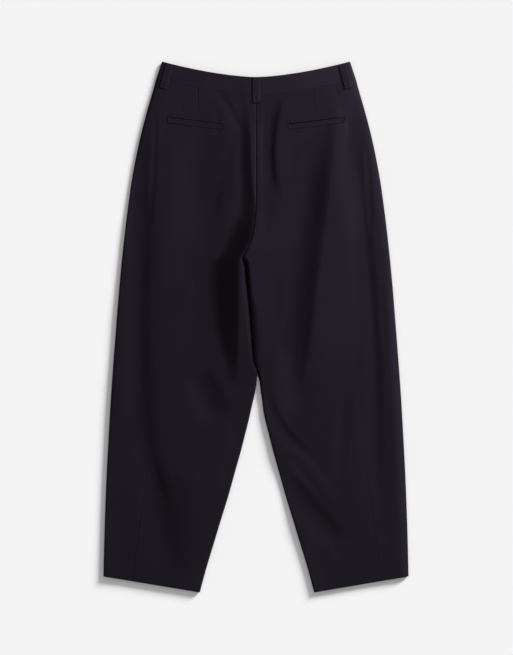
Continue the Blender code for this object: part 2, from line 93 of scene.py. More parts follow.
garment = {
    "cloth": 0.0015,
    "seamGap": 0.0003,
    "bandGap": 0.00012,
    "layerTop": 0.0060,  # top of the back away from folds
    "lowestTop": 0.0034,
    "softStop": 0.0008,  # how softly a deep fold comes to a stop there
    "layerRoom": 0.0056,  # most room between back and front
    "frontLiftEase": 0.024,
    "midHeight": 0.0032,  # height of side seams and inseams
    "bandHeight": 0.036,
    "waistHalf": 0.188,
    "waistDip": 0.031,
    "waistCurve": 1.6,
    "frontDip": 0.008,
    "crotchBelow": 0.392,
    "partingBelow": 0.622,  # where the legs part
    "hemRise": 0.032,
    "rowTilt": 0.030,
    "partingX": 0.003,
    "partingBlend": 0.012,
    "sideRoll": {left: 0.0045, right: 0.0160},
    "frontRoll": 0.0032,
    "seamTilt": math.radians(30),
    "flatSeamTilt": math.radians(2),
    "crotchEase": 0.016,  # height over which the centre seam turns into the groove between the legs
    "crotchRaise": 0.008,
    "sidePuff": 0.0008,
    "puffAt": 0.012,
    "puffReach": 0.030,
}
topY = (cadHigh.y - cadLow.y) / 2
crotchY = topY - garment["crotchBelow"]
partingY = topY - garment["partingBelow"]
hemInY = -topY
hemOutY = hemInY + garment["hemRise"]
fullTilt = math.radians(90)

# distance below the waistband's corners, half of the garment's width
sideSeam = (
    (0, 0.188), (0.05, 0.2015), (0.1, 0.2165), (0.15, 0.23), (0.2, 0.241),
    (0.25, 0.25), (0.35, 0.263), (0.45, 0.273), (0.55, 0.281), (0.65, 0.2885),
    (0.75, 0.2945), (0.85, 0.2995), (0.95, 0.303), (1.06, 0.3055),
)
# distance below the waistband's corners, x of the seam between the two legs
centreSeam = (
    (0.03, 0), (0.27, 0), (0.305, -0.0015), (0.34, -0.006), (0.37, -0.015),
    (garment["crotchBelow"], -0.0270),
)
# the same, for the line on which the legs lie against each other below the crotch
touchLine = (
    (garment["crotchBelow"], -0.0270), (0.412, -0.0225), (0.446, -0.0192), (0.476, -0.0160),
    (0.536, -0.0110), (0.596, -0.0056), (garment["partingBelow"], garment["partingX"]),
)
# distance below the parting of the legs, half of the gap between them, x of its middle
legGap = (
    (0, 0.0004, 0.003), (0.022, 0.0034, 0.0042), (0.038, 0.0054, 0.004),
    (0.054, 0.0086, 0.0034), (0.078, 0.0128, 0.0022), (0.094, 0.0163, 0.002),
    (0.134, 0.0264, 0.002), (0.15, 0.0304, 0.002), (0.198, 0.0438, 0.002),
    (0.246, 0.0572, 0.002), (0.294, 0.072, 0.002), (0.342, 0.0865, 0.002),
    (0.39, 0.101, 0.002), (0.438, 0.114, 0.002),
)
# distance below the crotch, width over which the left and the right leg curve down to the inseam
inseamRoll = (
    (-0.006, 0.003, 0.003), (0.009, 0.0065, 0.0115), (0.034, 0.008, 0.011),
    (0.07, 0.008, 0.012), (0.11, 0.0075, 0.017), (0.17, 0.0065, 0.018),
    (0.23, 0.005, 0.008), (0.3, 0.0045, 0.0045), (0.7, 0.0045, 0.0045),
)

sideHalfWidth = smoothCurve(sideSeam)
centreSeamX = smoothCurve(centreSeam)
touchLineX = smoothCurve(touchLine)
halfLegGap, legGapX = smoothCurve(legGap), smoothCurve(legGap, 2)
innerRollWidth = {left: smoothCurve(inseamRoll, 1), right: smoothCurve(inseamRoll, 2)}


def bandTop(across, lower=0.0):
    dip = (garment["waistDip"] + lower) * (1 - np.abs(across) ** garment["waistCurve"])
    return np.stack((across * garment["waistHalf"], topY - dip), -1)


def bandSeam(across, lower=0.0):
    power = garment["waistCurve"]
    share = np.maximum(np.abs(across), 1e-6)
    slope = (garment["waistDip"] + lower) * power * share ** (power - 1) / garment["waistHalf"]
    lean = np.arctan(slope) * np.where(across < 0, -1, 1)
    down = np.stack((np.sin(lean), -np.cos(lean)), -1)
    return bandTop(across, lower) + garment["bandHeight"] * down


def sidePoint(side, down):
    startY = bandSeam(np.array(float(side)))[1] - garment["bandGap"]
    crotchLevel = crotchY + garment["rowTilt"]
    y = np.where(down <= 1, mix(startY, crotchLevel, down), mix(crotchLevel, hemOutY, down - 1))
    return np.stack((side * sideHalfWidth(topY - y), y), -1)


def innerPoint(side, down, lower=0.0):
    startY = bandSeam(np.array(0.0), lower)[1] - garment["bandGap"]
    y = np.where(down <= 1, mix(startY, crotchY, down), mix(crotchY, hemInY, down - 1))
    apart = legGapX(partingY - y) + side * halfLegGap(partingY - y)
    blend = ease((partingY - y) / garment["partingBlend"])
    below = np.where(y < partingY, mix(garment["partingX"], apart, blend), touchLineX(topY - y))
    x = np.where(down <= 1, centreSeamX(topY - y), below)
    return np.stack((x + side * garment["seamGap"] / 2, y), -1)


def planPoint(side, across, down, lower=0.0):
    outer, inner = sidePoint(side, down), innerPoint(side, down, lower)
    point = mix(outer, inner, across[..., None])
    seam = bandSeam(side * (1 - across), lower)
    ends = bandSeam(np.array(float(side))), bandSeam(np.array(0.0), lower)
    sag = (seam - mix(*ends, across[..., None])) * (np.clip(1 - down, 0, 1) ** 2)[..., None]
    return point + sag


def rowWidth(side, down, lower=0.0):
    return np.linalg.norm(sidePoint(side, down) - innerPoint(side, down, lower), axis=-1)


# Folds of each side: x and y of the upper end, x and y of the lower end, bow towards +x, width to
# the left, width to the right, height

mainFolds = {left: (
    (-0.226, 0.47, -0.232, -0.31, -0.01, 0.04, 0.036, -0.0026),  # side hollow
    (-0.19, 0.37, -0.194, -0.27, 0, 0.044, 0.07, 0.002),
    (-0.232, -0.15, -0.176, -0.5, 0, 0.044, 0.036, -0.0023),  # beside the hem dart
    (-0.156, -0.23, -0.1, -0.51, 0, 0.07, 0.06, 0.0026),
    (-0.118, -0.082, -0.068, -0.196, 0.002, 0.05, 0.034, -0.0038),
    (-0.046, 0.47, -0.044, 0.13, 0, 0.07, 0.1, 0.0022),
), right: (
    (0.052, 0.474, 0.04, 0.254, -0.017, 0.034, 0.012, -0.002),  # beside the centre seam
    (0.182, 0.48, 0.242, -0.44, 0.016, 0.045, 0.022, -0.0028),  # side hollow
    (0.03, -0.258, 0.188, -0.444, -0.01, 0.044, 0.03, -0.0031),
    (0.056, -0.226, 0.17, -0.37, 0.003, 0.022, 0.022, 0.001),
    (0.012, -0.098, 0.124, -0.272, -0.022, 0.026, 0.015, -0.0015),
    (0.18, -0.13, 0.164, -0.32, 0, 0.02, 0.02, -0.001),
)}
# a ridge that rises slowly to a narrow crest, given in the same way
mainRidges = {left: (), right: (
    (0.172, 0.47, 0.086, -0.192, 0.002, 0.056, 0.15, 0.0084),  # long slanting fold
)}
# distance below the waistband's corners, x where the left back starts to rise towards the centre
# seam, x where it stops, the rise there, the rise of the right back at the seam, strength of the
# painted shade
seamRise = (
    (0.06, -0.036, -0.02, 0, 0, 0), (0.116, -0.032, -0.014, 0.002, 0.0016, 0.25),
    (0.146, -0.032, -0.012, 0.0038, 0.003, 0.36), (0.196, -0.033, -0.01, 0.0046, 0.0038, 0.36),
    (0.246, -0.031, -0.006, 0.0048, 0.0044, 0.36), (0.296, -0.034, 0, 0.0058, 0.0056, 0.5),
    (0.326, -0.052, -0.002, 0.007, 0.0066, 0.7), (0.356, -0.064, -0.008, 0.0088, 0.008, 0.82),
    (0.376, -0.074, -0.019, 0.0098, 0.0084, 0.8), (0.4, -0.096, -0.03, 0.0104, 0.0082, 0.8),
    (0.446, -0.099, -0.032, 0.0104, 0.006, 0.78), (0.476, -0.097, -0.032, 0.0104, 0.0052, 0.77),
    (0.536, -0.089, -0.033, 0.0088, 0.0034, 0.68), (0.566, -0.079, -0.034, 0.007, 0.0024, 0.62),
    (0.596, -0.068, -0.035, 0.0044, 0.0014, 0.5), (0.622, -0.062, -0.037, 0.0022, 0.0004, 0.26),
    (0.646, -0.06, -0.04, 0, 0, 0),
)
smallFolds = {left: (
    (-0.15, 0.44, -0.146, 0.425, 0, 0.006, 0.006, -0.0003),
    (-0.078, 0.47, -0.03, 0.384, 0.006, 0.016, 0.01, -0.0008),
    (-0.046, 0.38, -0.104, 0.19, 0.004, 0.03, 0.016, -0.0012),
    (-0.074, 0.44, -0.08, 0.37, 0, 0.012, 0.012, -0.0005),
    (-0.05, 0.33, -0.066, 0.235, 0.002, 0.01, 0.01, -0.0005),
    (-0.128, 0.12, -0.122, -0.06, 0.004, 0.016, 0.016, -0.0004),
    (-0.23, -0.206, -0.178, -0.364, 0, 0.026, 0.014, -0.0014),
    (-0.196, -0.24, -0.15, -0.4, 0.006, 0.014, 0.014, 0.0004),
    (-0.214, -0.33, -0.18, -0.45, 0.002, 0.012, 0.012, -0.0005),
    (-0.262, 0.18, -0.272, 0.02, 0, 0.01, 0.01, -0.0004),
    (-0.276, -0.06, -0.286, -0.2, 0, 0.01, 0.01, 0.0003),
    (-0.2, 0.44, -0.211, 0.2, 0.002, 0.01, 0.007, -0.0009),
), right: (
    (0.02, 0.44, 0.014, 0.33, -0.002, 0.008, 0.008, -0.0005),
    (0.03, 0.25, 0.004, 0.16, 0.004, 0.01, 0.01, -0.0004),
    (0.084, 0.37, 0.07, 0.28, -0.004, 0.012, 0.012, -0.0004),
    (0.112, 0.06, 0.086, -0.09, 0, 0.012, 0.012, -0.0005),
    (0.06, 0.12, 0.044, -0.02, 0.002, 0.014, 0.014, 0.0004),
    (0.186, 0.43, 0.176, 0.34, 0.004, 0.01, 0.014, -0.0009),
    (0.216, 0.3, 0.232, 0.16, 0.004, 0.012, 0.012, -0.0004),
    (0.246, 0.1, 0.258, -0.06, 0.002, 0.01, 0.01, -0.0004),
    (0.222, 0.06, 0.214, -0.12, 0, 0.02, 0.02, 0.0005),
    (0.04, -0.17, 0.09, -0.196, 0, 0.01, 0.01, -0.0003),
    (0.256, -0.12, 0.262, -0.33, 0.004, 0.012, 0.012, -0.0004),
    (0.14, -0.4, 0.17, -0.47, 0.002, 0.012, 0.012, -0.0004),
    (0.22, 0.38, 0.232, 0.18, 0, 0.01, 0.009, -0.0009),
)}
# painted shade on cloth turned away from the light and deep in folds, and painted highlight
# (negative) on cloth turned towards it, given in the same way, with its strength
paintedShadingZones = {left: (
    (-0.206, 0.48, -0.216, -0.3, -0.008, 0.024, 0.024, 0.08),
    (-0.214, -0.02, -0.212, -0.31, 0, 0.02, 0.02, 0.17),
    (-0.19, -0.26, -0.13, -0.51, 0, 0.05, 0.09, 0.18),
    (-0.084, 0.46, -0.084, 0.13, 0, 0.036, 0.044, 0.16),
    (-0.092, 0.18, -0.096, -0.06, 0, 0.02, 0.022, 0.2),
    (-0.102, -0.088, -0.073, -0.184, 0, 0.02, 0.018, 0.4),
    (-0.212, -0.25, -0.19, -0.35, 0, 0.016, 0.02, 0.16),
    (-0.146, 0.41, -0.136, 0.12, 0, 0.04, 0.044, -0.13),
    (-0.24, 0.4, -0.264, 0.12, 0, 0.016, 0.016, -0.16),
    (-0.044, -0.16, -0.076, -0.41, 0, 0.026, 0.024, -0.14),
    (-0.296, -0.1, -0.296, -0.6, 0, 0.03, 0.024, -0.2),
    (-0.13, -0.38, -0.1, -0.62, 0, 0.05, 0.04, -0.16),
), right: (
    (0.056, 0.478, 0.054, 0.23, -0.022, 0.015, 0.014, 0.46),
    (0.014, 0.52, 0.03, 0.15, 0, 0.024, 0.036, 0.26),
    (0.132, 0.38, 0.086, -0.14, 0, 0.034, 0.02, 0.28),
    (0.156, 0.45, 0.12, 0.21, 0, 0.02, 0.016, 0.24),
    (0.102, -0.14, 0.094, -0.22, 0, 0.02, 0.02, 0.1),
    (0.076, -0.29, 0.176, -0.43, 0, 0.024, 0.02, 0.25),
    (0.232, 0.3, 0.256, -0.42, 0.006, 0.02, 0.02, 0.1),
    (0.208, 0.22, 0.212, -0.26, 0, 0.022, 0.022, 0.16),
    (0.212, 0.5, 0.238, 0.26, 0, 0.03, 0.02, 0.2),
    (0.186, 0.56, 0.19, 0.36, 0, 0.06, 0.03, -0.22),
    (0.054, -0.02, 0.07, -0.2, 0, 0.034, 0.036, -0.28),
    (0.056, -0.25, 0.14, -0.37, 0, 0.026, 0.016, -0.32),
    (0.094, -0.39, 0.14, -0.59, 0, 0.02, 0.04, -0.16),
    (0.262, 0.26, 0.31, -0.72, 0, 0.016, 0.016, -0.24),
)}
relief = {
    "foldFade": 0.30,  # share of a fold's length over which each end fades
    "crestRound": 0.10,
    "seamRiseWidth": 0.110,  # on the right back
    "seamRiseBend": 0.5,  # mix of two curves for the left back's rise
    "paintedShadeStart": 0.45,  # shares of the left back's rise over which its painted shade sets in and ends
    "paintedShadeEnd": 0.12,
    "waveStretch": 0.55,  # waves are longer along the legs
}


def softSection(off):
    return np.cos(np.pi / 2 * off) ** 2


def crestSection(off):
    rounding = relief["crestRound"]
    rounded = np.sqrt(off * off + rounding**2) - rounding
    return (1 - rounded / (math.sqrt(1 + rounding**2) - rounding)) ** 2


def foldHeight(side, point, folds, section=softSection):
    total = np.zeros(point.shape[:-1])
    for x0, y0, x1, y1, bow, toLeft, toRight, height in folds[side]:
        start, line = np.array((x0, y0)), np.array((x1 - x0, y1 - y0))
        along = (point - start) @ line / (line @ line)
        sideways = np.array((-line[1], line[0])) / np.linalg.norm(line)
        off = (point - start) @ sideways - bow * 4 * along * (1 - along)
        off = np.clip(off / np.where(off < 0, toLeft, toRight), -1, 1)
        ends = ease(along / relief["foldFade"]) * ease((1 - along) / relief["foldFade"])
        total += height * ends * section(off)
    return total


def mainRelief(side, point):
    folds = foldHeight(side, point, mainFolds)
    return folds + foldHeight(side, point, mainRidges, crestSection) + seamRelief(side, point)[0]


seamRiseAt = [smoothCurve(seamRise, column) for column in range(1, 6)]


# The rise of the backs towards their centre seam, and how strongly painted shade darkens it
def seamRelief(side, point):
    start, end, leftRise, rightRise, paintedShadingAmount = (curve(topY - point[..., 1]) for curve in seamRiseAt)
    if side == right:
        width = relief["seamRiseWidth"]
        off = np.clip(point[..., 0] - centreSeamX(topY - point[..., 1]), 0, width)
        return rightRise * crestSection(off / width), np.zeros(off.shape)
    share = np.clip((point[..., 0] - start) / (end - start), 0, 1)
    rise = leftRise * mix(ease(share), share**2, relief["seamRiseBend"])
    return rise, paintedShadingAmount * ease(share / relief["paintedShadeStart"]) * ease((1 - share) / relief["paintedShadeEnd"])


# Fine unevenness of pressed cloth: long soft waves in many directions
def clothWaves(point, seed, count, shortest, longest, height):
    chance = np.random.default_rng(seed)
    total = np.zeros(point.shape[:-1])
    for _ in range(count):
        turn, phase = chance.uniform(0, 2 * np.pi, 2)
        length = chance.uniform(shortest, longest)
        way = np.array((np.cos(turn), relief["waveStretch"] * np.sin(turn))) * 2 * np.pi / length
        total += np.sin(point @ way + phase) * length / longest
    return total * height / math.sqrt(count)


# Slight puckers beside sewing: two beats that swell and fade
def pucker(fromSeam, alongSeam, seed, height=0.00008, reach=0.007, spacing=0.012):
    chance = np.random.default_rng(seed)
    phase = chance.uniform(0, 2 * np.pi, 3)
    beat = np.sin(alongSeam * 2 * np.pi / spacing + phase[0])
    beat = beat + 0.6 * np.sin(alongSeam * 2 * np.pi / (spacing * 1.63) + phase[1])
    swell = 0.6 + 0.4 * np.sin(alongSeam * 2 * np.pi / (spacing * 9) + phase[2])
    return height * beat * swell * np.exp(-np.abs(fromSeam) / reach)


# Pieces of cloth

def newPiece(name, bm):
    mesh = bpy.data.meshes.new(name)
    bm.to_mesh(mesh)
    bm.free()
    mesh.shade_smooth()
    piece = bpy.data.objects.new(name, mesh)
    bpy.context.scene.collection.objects.link(piece)
    return piece


# A grid whose points go to places, with a UV map of where they lie in the cut
def clothPiece(name, places, cutPlaces, facing, thickness, edgeRadius, paintedShading=None):
    rowCount, columnCount = places.shape[:2]
    bm = bmesh.new()
    bmesh.ops.create_grid(bm, x_segments=columnCount - 1, y_segments=rowCount - 1, size=0.5)
    piece = newPiece(name, bm)
    mesh = piece.data
    flat = np.empty(len(mesh.vertices) * 3)
    mesh.vertices.foreach_get("co", flat)
    flat = flat.reshape(-1, 3)
    i = np.rint((flat[:, 0] + 0.5) * (columnCount - 1)).astype(int)
    j = np.rint((0.5 - flat[:, 1]) * (rowCount - 1)).astype(int)
    mesh.vertices.foreach_set("co", places[j, i].ravel())
    corners = np.empty(len(mesh.loops), int)
    mesh.loops.foreach_get("vertex_index", corners)
    cut = mesh.uv_layers.new(name="cut")
    cut.uv.foreach_set("vector", cutPlaces[j, i][corners].ravel())
    # painted shade and painted highlight at each point, which the cloth's colour mixes in
    shade = np.zeros(len(mesh.vertices)) if paintedShading is None else paintedShading[j, i]
    mesh.attributes.new("paintedShading", "FLOAT", "POINT").data.foreach_set("value", shade)
    mesh.update()
    if mesh.polygons[len(mesh.polygons) // 2].normal.z * facing < 0:
        mesh.flip_normals()
    wall = piece.modifiers.new("wall", "SOLIDIFY")
    wall.thickness = thickness
    wall.offset = -1
    rim = piece.modifiers.new("rim", "BEVEL")
    rim.width = edgeRadius
    rim.segments = 3
    rim.limit_method = "ANGLE"
    rim.angle_limit = math.radians(55)
    return piece


def seamTiltAt(y, seamTilt):
    above = y - crotchY + garment["crotchRaise"]
    return mix(fullTilt, seamTilt, ease(above / garment["crotchEase"]))


# For each row, where the columns lie across it, and how far the cloth has turned down there
def panelColumns(side, down, sideRoll, innerRoll, seamTilt, shares, steps, lower=0.0):
    width = rowWidth(side, down, lower)[:, None]
    full = seamTiltAt(innerPoint(side, down, lower)[:, 1], seamTilt)[:, None]
    innerRoll = np.broadcast_to(np.asarray(innerRoll), down.shape)[:, None]
    turn = np.linspace(1, 0, steps + 1)[None, :]
    sideAcross = sideRoll * (1 - np.sin(turn * fullTilt)) / width
    innerAcross = 1 - innerRoll * (1 - np.sin(turn * full) / np.sin(full)) / width
    start, end = sideRoll / width, 1 - innerRoll / width
    middle = mix(start, end, shares[None, 1:-1])
    across = np.concatenate((sideAcross, middle, innerAcross[:, ::-1]), 1)
    sideTilt = np.broadcast_to(turn * fullTilt, sideAcross.shape)
    innerTilt = (turn * full)[:, ::-1]
    noTilt = np.zeros(middle.shape)
    sideTilts = np.concatenate((sideTilt, noTilt, innerTilt * 0), 1)
    innerTilts = np.concatenate((sideTilt * 0, noTilt, innerTilt), 1)
    return across, sideTilts, innerTilts


back = {
    "rows": ((0.0, 0.14, 16), (0.14, 0.28, 62), (0.28, 1.0, 72), (1.0, 2.0, 136)),
    "columns": 96,
    "rollSteps": 8,
    "edgeRadius": 0.0002,
    "waves": (14, 0.030, 0.110, 0.00022),  # count, shortest, longest, height
    "inseamPucker": (0.00012, 0.010),  # height, reach
    "allowance": 0.0003,  # the pressed-open seam under the centre back seam
    "allowanceWidth": 0.013,
    "allowanceEdge": 0.003,
}
# places are shares of a panel's width, and leans are in such shares too
dart = {
    "waistAt": 0.42,
    "waistLean": 0.25,
    "waistLength": 0.060,
    "waistFade": 0.5,  # share of its length over which it fades at the tip
    "hemAt": 0.30,
    "hemLean": 0.020,
    "hemLength": 0.258,
    "hemFade": 0.14,
    "depth": 0.00034,
    "half": 0.0012,
    "step": 0.00022,  # the folded intake lifts one side of a dart
    "stepEdge": 0.0016,
    "stepReach": 0.010,
    "puckerHeight": 0.0001,
    "puckerStretch": 0.6,
    "columns": (0.0022, 0.0045, 0.008, 0.014),  # extra columns beside a dart
    "leanColumns": (0.312, 0.316, 0.320, 0.438, 0.442, 0.446, 0.450, 0.454, 0.458, 0.462),
}
pocket = {
    "columnsAt": (0.207, 0.707),  # shares across a panel near which a welt ends
    "columnStep": 0.003,
    "columnReach": 4,
    "room": 0.0006,  # left free round the welt
    "edge": 0.0005,  # over which the panel sinks
    "sink": 0.0012,
    "mouth": 0.0016,
    "mouthEdge": 0.0008,
    "lip": 0.0004,
    "lipReach": 0.014,
    "lipPast": 0.004,  # the lip goes on past the mouth's ends and fades there
    "lipFade": 0.012,
}
welt = {
    "length": 0.112,
    "width": 0.010,
    "thickness": 0.0011,
    "rounding": 0.0004,
    "rows": 56,
    "columns": 6,
    "outerEnd": (0.176, 0.413),  # on the right
    "innerEnd": (0.065, 0.399),
}
# Painted shade on the dark flanks of the groove between the legs: how far above the crotch and below
# the parting it goes, the lengths of its fades, the powers of the shade below and above a change,
# how far below the crotch the change starts, and its length
groove = {
    left: {"above": 0.126, "fadeIn": 0.04, "below": 0.05, "fadeOut": 0.04,
           "powers": (0.8, 0.35), "changeBelow": 0.0, "changeOver": 0.02},
    right: {"above": 0.0, "fadeIn": 0.008, "below": 0.09, "fadeOut": 0.04,
            "powers": (0.75, 0.3), "changeBelow": 0.08, "changeOver": 0.05},
}


def spacedRows(bands):
    parts = [np.linspace(start, end, count, endpoint=False) for start, end, count in bands]
    return np.append(np.concatenate(parts), bands[-1][1])


# The panel sinks under a welt, which then lies nearly flush, and opens as a mouth above it
def pocketRelief(side, point):
    outerEnd = np.array((side * welt["outerEnd"][0], welt["outerEnd"][1]))
    innerEnd = np.array((side * welt["innerEnd"][0], welt["innerEnd"][1]))
    line = (innerEnd - outerEnd) / np.linalg.norm(innerEnd - outerEnd)
    upwards = np.array((-line[1], line[0]))
    upwards = upwards * np.sign(upwards[1])
    along = (point - outerEnd) @ line
    above = (point - outerEnd) @ upwards
    half, length = welt["width"] / 2, welt["length"]
    room, edge, mouth = pocket["room"], pocket["edge"], pocket["mouth"]
    ends = ease((along + room) / edge) * ease((length + room - along) / edge)
    sunk = ease((above + half + room) / edge) * ease((half + mouth - above) / pocket["mouthEdge"])
    lip = np.exp(-np.clip(above - half - mouth, 0, 1) / pocket["lipReach"])
    lip = lip * (above > half + mouth - room)
    past, fade = pocket["lipPast"], pocket["lipFade"]
    softEnds = ease((along + past) / fade) * ease((length + past - along) / fade)
    return pocket["lip"] * lip * softEnds - pocket["sink"] * sunk * ends


def dartRelief(side, across, down, width):
    bandY = bandSeam(np.array(0.0))[1]
    waistReach = dart["waistLength"] / (bandY - crotchY)
    hemReach = dart["hemLength"] / (crotchY - hemInY)
    hemShare = (down - 2 + hemReach) / hemReach
    waistAt = dart["waistAt"] + dart["waistLean"] * np.clip(down, 0, waistReach)
    hemAt = dart["hemAt"] + dart["hemLean"] * np.clip(1 - hemShare, 0, 1)
    darts = (
        (waistAt, ease((waistReach - down) / (dart["waistFade"] * waistReach)), 44),
        (hemAt, ease(hemShare / dart["hemFade"]), 43),
    )
    total = np.zeros(across.shape)
    for at, strength, seed in darts:
        off = (across - at) * width
        dent = -dart["depth"] * np.exp(-(off / dart["half"]) ** 2)
        stepUp = dart["step"] * ease(-off * side / dart["stepEdge"])
        stepUp = stepUp * np.exp(-np.clip(-off * side, 0, 1) / dart["stepReach"])
        puckers = pucker(off, down * dart["puckerStretch"], seed, dart["puckerHeight"])
        total += strength * (dent + stepUp + puckers)
    return total


def turned(top, tilt):
    height = top - garment["midHeight"] - garment["seamGap"] / 2
    return top - height * (1 - np.cos(tilt))


def backTop(side, across, down, detail):
    width = rowWidth(side, down)
    point = planPoint(side, across, down)
    fromSide = across * width
    puff = np.maximum(0, 1 - ((fromSide - garment["puffAt"]) / garment["puffReach"]) ** 2)
    top = garment["layerTop"] + garment["sidePuff"] * puff + mainRelief(side, point)
    if detail:
        top = top + foldHeight(side, point, smallFolds) + pocketRelief(side, point)
        top = top + clothWaves(point, 5 + side, *back["waves"])
        top = top + dartRelief(side, across, down, width)
        fromInner = (1 - across) * width
        pressed = ease((point[..., 1] - crotchY) / garment["crotchEase"])
        allowance = ease((back["allowanceWidth"] - fromInner) / back["allowanceEdge"])
        allowance = allowance * back["allowance"]
        top = top + pressed * (allowance + pucker(fromInner, point[..., 1], 21 + side))
        inseam = pucker(fromInner, point[..., 1], 25 + side, *back["inseamPucker"])
        top = top + (1 - pressed) * inseam
        top = top + pucker(fromSide, point[..., 1], 29 + side)
    spare = top - garment["lowestTop"]
    return garment["lowestTop"] + 0.5 * (spare + np.sqrt(spare**2 + garment["softStop"] ** 2))


# Painted shade on the flank beside the groove between the legs: how dark it is, by how steep the
# flank is
def paintedGrooveShade(side, innerY, innerTilt):
    deep = groove[side]
    steep = np.sin(innerTilt) / np.sin(seamTiltAt(innerY, garment["seamTilt"]))[:, None]
    below = ease((crotchY + deep["above"] - innerY) / deep["fadeIn"])
    above = ease((innerY - partingY + deep["below"]) / deep["fadeOut"])
    change = ease((innerY - crotchY + deep["changeBelow"]) / deep["changeOver"])
    return steep ** mix(*deep["powers"], change)[:, None] * (below * above)[:, None]


def backPanel(side):
    down = spacedRows(back["rows"])
    extra = [at + sign * step for at in (dart["waistAt"], dart["hemAt"])
             for step in (0, *dart["columns"]) for sign in (-1, 1)]
    reach = pocket["columnReach"]
    extra += [at + pocket["columnStep"] * step for at in pocket["columnsAt"]
              for step in range(-reach, reach + 1)]
    extra += dart["leanColumns"]
    shares = np.unique(np.round(np.append(np.linspace(0, 1, back["columns"]), extra), 5))
    innerY = innerPoint(side, down)[:, 1]
    roll = innerRollWidth[side](crotchY - innerY)
    across, sideTilt, innerTilt = panelColumns(
        side, down, garment["sideRoll"][side], roll, garment["seamTilt"], shares, back["rollSteps"]
    )
    downs = np.broadcast_to(down[:, None], across.shape)
    top = backTop(side, across, downs, True)
    point = planPoint(side, across, downs)
    z = turned(top, np.maximum(sideTilt, innerTilt))
    places = np.concatenate((point, z[..., None]), -1)
    # painted shade on the groove's flanks, in the zones and beside the centre seam, painted
    # highlight where the zones are negative
    paintedFlankShade = paintedGrooveShade(side, innerY, innerTilt)
    paintedShadingAmount = foldHeight(side, point, paintedShadingZones) + seamRelief(side, point)[1]
    paintedShading = np.clip(np.where(paintedShadingAmount > 0, np.maximum(paintedFlankShade, paintedShadingAmount), mix(paintedShadingAmount, 1, paintedFlankShade)), -1, 1)
    name, node = ("backLeft", "back_left") if side == left else ("backRight", "back_right")
    piece = clothPiece(name, places, point, 1, garment["cloth"], back["edgeRadius"], paintedShading)
    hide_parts(node)
    return piece


front = {
    "rows": ((0.0, 1.0, 64), (1.0, 2.0, 110)),
    "columns": 48,
    "rollSteps": 6,
    "edgeRadius": 0.00045,
    "waves": (12, 0.030, 0.110, 0.00024),
    "archEdge": 0.020,
    "archRoom": 0.0005,  # least room under the back
    "flyWidth": 0.034,
    "flyLength": 0.175,
    "flyBend": 1.3,
    "flyHeight": 0.00035,
    "flyHalf": 0.0012,
}
# Places where the front arches off the floor, given like the back's folds
frontFolds = {left: (
    (-0.222, 0.38, -0.236, -0.22, -0.004, 0.03, 0.04, 0.0013),
    (-0.034, 0.23, -0.15, 0.04, 0.008, 0.02, 0.034, 0.0012),
    (-0.05, 0.12, -0.176, -0.11, 0.006, 0.026, 0.03, 0.001),
    (-0.12, -0.16, -0.2, -0.44, 0, 0.034, 0.024, 0.0014),
    (-0.08, -0.3, -0.15, -0.38, 0, 0.014, 0.02, 0.0008),
    (-0.14, 0.44, -0.12, 0.26, 0.004, 0.018, 0.022, 0.0007),
), right: (
    (0.02, 0.25, 0.124, 0.07, -0.006, 0.022, 0.03, 0.0012),
    (0.06, 0.13, 0.11, -0.19, 0.01, 0.036, 0.028, 0.0014),
    (0.214, 0.36, 0.246, -0.3, 0.008, 0.034, 0.026, 0.0012),
    (0.1, -0.22, 0.196, -0.4, 0, 0.018, 0.028, 0.0011),
    (0.13, -0.33, 0.16, -0.47, 0.004, 0.02, 0.016, 0.0007),
    (0.15, 0.45, 0.14, 0.3, -0.004, 0.016, 0.02, 0.0007),
)}


# Distance from the fly's curved line of sewing, on the wearer's left front
def flyDistance(point):
    x, y = np.abs(point[..., 0]), point[..., 1]
    startY = bandSeam(np.array(0.0), garment["frontDip"])[1]
    cornerY = startY - front["flyLength"] + front["flyWidth"] * front["flyBend"]
    low = (cornerY - y) / front["flyBend"]
    bent = np.abs(np.hypot(x, np.maximum(low, 0)) - front["flyWidth"])
    return np.where(point[..., 0] < 0, bent, 1.0)


def frontPanel(side):
    down = spacedRows(front["rows"])
    shares = np.linspace(0, 1, front["columns"])
    lower = garment["frontDip"]
    across, sideTilt, innerTilt = panelColumns(
        side, down, garment["frontRoll"], garment["frontRoll"], garment["flatSeamTilt"], shares,
        front["rollSteps"], lower,
    )
    downs = np.broadcast_to(down[:, None], across.shape)
    point = planPoint(side, across, downs, lower)
    innerY = innerPoint(side, downs)[..., 1]
    roll = innerRollWidth[side](crotchY - innerY)
    fromInner = (1 - across) * rowWidth(side, downs)
    full = seamTiltAt(innerY, garment["seamTilt"])
    tilt = np.arcsin(np.clip(1 - fromInner / roll, 0, 1) * np.sin(full))
    backAbove = turned(backTop(side, across, downs, False), tilt)
    low = np.maximum(0, backAbove - 2 * garment["cloth"] - garment["layerRoom"])
    low = low * ease((fromInner - garment["frontRoll"]) / garment["frontLiftEase"])
    arch = foldHeight(side, point, frontFolds)
    arch = arch + np.maximum(0, clothWaves(point, 83 + side, *front["waves"]))
    inside = ease(np.minimum(fromInner, across * rowWidth(side, downs)) / front["archEdge"])
    spare = np.maximum(0, backAbove - 2 * garment["cloth"] - front["archRoom"] - low)
    low = low + np.minimum(arch * inside, spare)
    low = low + front["flyHeight"] * np.exp(-(flyDistance(point) / front["flyHalf"]) ** 2)
    edge = np.maximum(sideTilt, innerTilt)
    rise = garment["midHeight"] - garment["seamGap"] / 2 - low
    z = low + rise * (1 - np.cos(edge))
    places = np.concatenate((point, z[..., None]), -1)
    name, node = ("frontLeft", "front_left") if side == left else ("frontRight", "front_right")
    piece = clothPiece(name, places, point, -1, garment["cloth"], front["edgeRadius"])
    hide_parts(node)
    return piece


